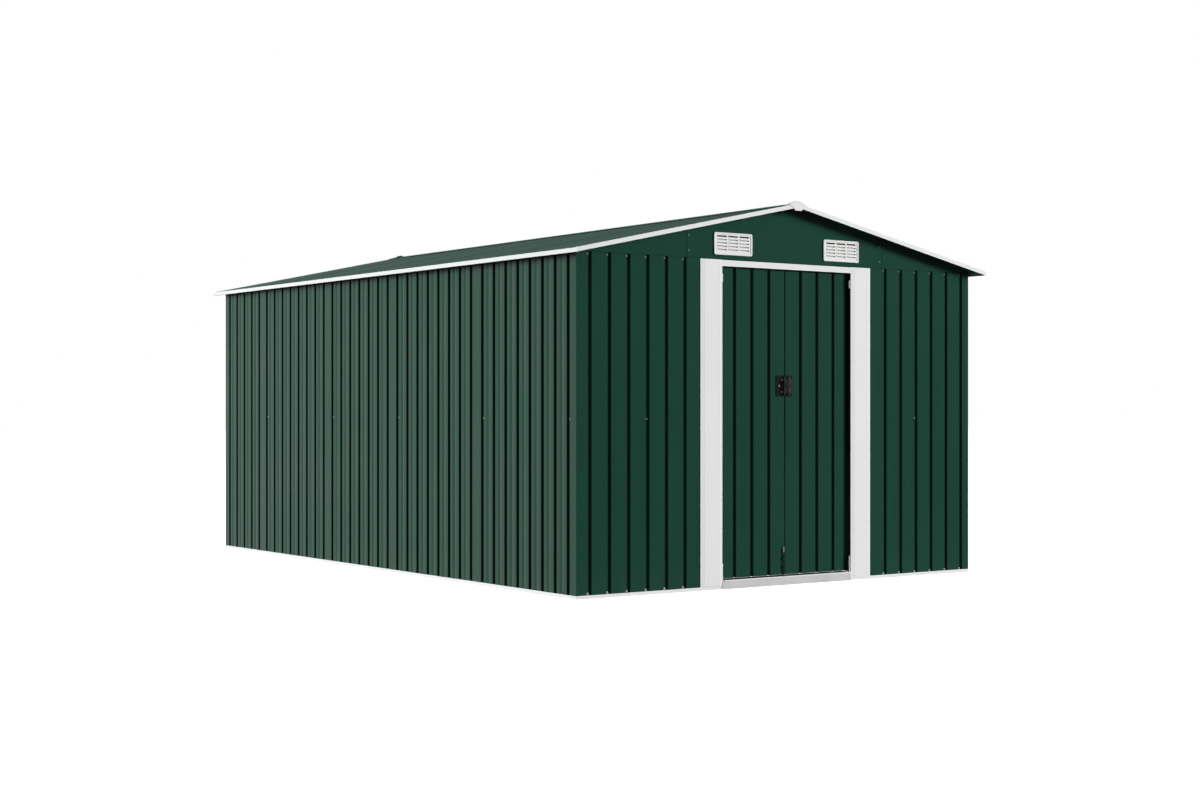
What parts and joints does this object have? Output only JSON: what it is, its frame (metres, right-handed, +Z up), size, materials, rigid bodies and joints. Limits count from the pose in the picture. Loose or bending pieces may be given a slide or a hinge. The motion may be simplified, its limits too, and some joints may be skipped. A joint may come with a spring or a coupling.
{
  "type": "metal storage shed",
  "caption": "Apex-roof garden storage shed in ribbed green sheet steel with white trims, louvre vents in the gables and a hinged double door in the gable end.",
  "frame": {"origin": "middle of the footprint at ground level, under the base frame", "axes": "+Y from the door end towards the back along the ridge, +X to the right when facing the doors, +Z up"},
  "size_m": [2.5706, 3.92, 1.8412],
  "materials": {
    "green_sheet": "satin dark green coated steel sheet",
    "dark_frame": "satin black-green coated steel",
    "white_trim": "satin white coated steel",
    "sill_grey": "satin light grey coated steel",
    "galvanised": "galvanised steel",
    "vent_plastic": "moulded white plastic",
    "black_lock": "black coated steel"
  },
  "bodies": {
    "shed": {"base_rail_left": "white_trim", "base_rail_right": "white_trim", "base_rail_back": "white_trim", "base_rail_front": "white_trim", "door_sill": "sill_grey", "left_wall": "green_sheet", "right_wall": "green_sheet", "back_wall": "green_sheet", "front_wall_left": "green_sheet", "front_wall_right": "green_sheet", "door_post_left": "white_trim", "door_post_right": "white_trim", "door_jamb_left": "dark_frame", "door_jamb_right": "dark_frame", "door_lintel": "white_trim", "door_head": "dark_frame", "front_gable_left": "green_sheet", "front_gable_centre": "green_sheet", "front_gable_right": "green_sheet", "back_gable_left": "green_sheet", "back_gable_centre": "green_sheet", "back_gable_right": "green_sheet", "mid_rails": "galvanised", "top_rails": "galvanised", "ridge_beam": "galvanised", "roof_beams": "galvanised", "roof_left": "green_sheet", "roof_right": "green_sheet", "eave_trim_left": "white_trim", "eave_trim_right": "white_trim", "rake_trim_front": "white_trim", "rake_trim_back": "white_trim", "ridge_cap": "green_sheet", "ridge_end_caps": "vent_plastic", "vents_front": "vent_plastic", "vents_back": "vent_plastic", "door_hinges": "white_trim"},
    "left_leaf": {"left_door": "green_sheet", "left_door_hinge_plates": "white_trim", "hasp_left": "black_lock", "bolt_guides": "green_sheet"},
    "right_leaf": {"right_door": "green_sheet", "right_door_hinge_plates": "white_trim", "hasp_right": "black_lock"},
    "bolt": {"drop_bolt": "galvanised"}
  },
  "joints": [
    {"name": "left_leaf_hinge", "type": "hinge", "parent": "shed", "child": "left_leaf", "pos_m": [-0.4036, -1.878, 0.8], "axis": [0, 0, -1], "range_deg": [0, 120]},
    {"name": "right_leaf_hinge", "type": "hinge", "parent": "shed", "child": "right_leaf", "pos_m": [0.4036, -1.878, 0.8], "axis": [0, 0, 1], "range_deg": [0, 120]},
    {"name": "drop_bolt_slide", "type": "slide", "parent": "left_leaf", "child": "bolt", "axis": [0, 0, 1], "range_m": [-0.02, 0]}
  ]
}
